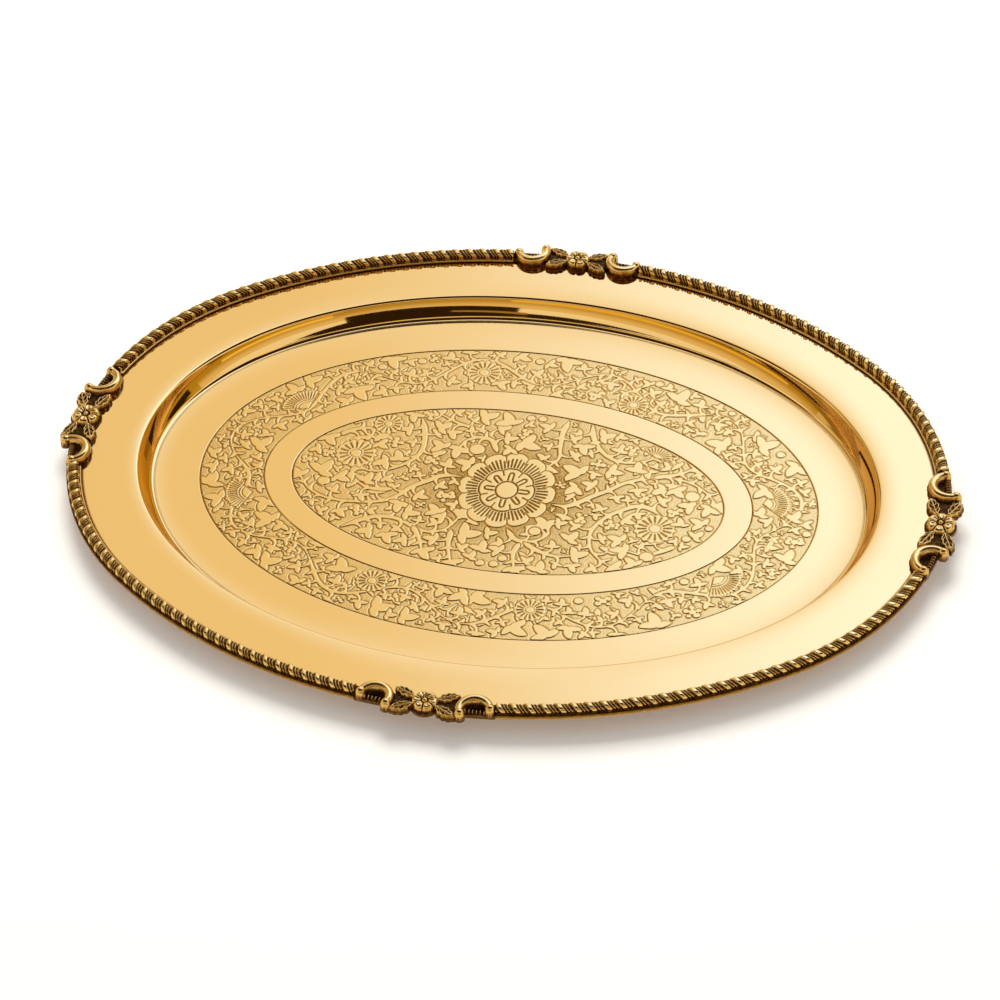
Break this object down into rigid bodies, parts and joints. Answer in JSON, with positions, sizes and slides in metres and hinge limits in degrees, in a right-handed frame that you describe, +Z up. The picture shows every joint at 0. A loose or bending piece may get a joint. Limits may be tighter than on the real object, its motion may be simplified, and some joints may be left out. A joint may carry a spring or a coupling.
{
  "type": "oval serving tray",
  "caption": "Oval brass tray with a shallow well, an engraved floor, a wide flat rim and a cast rope border broken by flower and scroll ornaments.",
  "frame": {"origin": "middle of the pan's flat underside, on the surface that the tray stands on", "axes": "+X along the tray's length, +Y along its width, +Z up out of the well"},
  "size_m": [0.4006, 0.3108, 0.0164],
  "materials": {
    "sheet_brass": "polished sheet brass, engraved by hand, with brown patina left in the cut ground",
    "cast_brass": "cast brass, polished on the high places, with dark brown patina in the recesses"
  },
  "bodies": {
    "root": {"pan": "sheet_brass", "border_back_right": "cast_brass", "border_back_left": "cast_brass", "border_front_left": "cast_brass", "border_front_right": "cast_brass", "ornament_right": "cast_brass", "ornament_back": "cast_brass", "ornament_left": "cast_brass", "ornament_front": "cast_brass"}
  },
  "joints": []
}
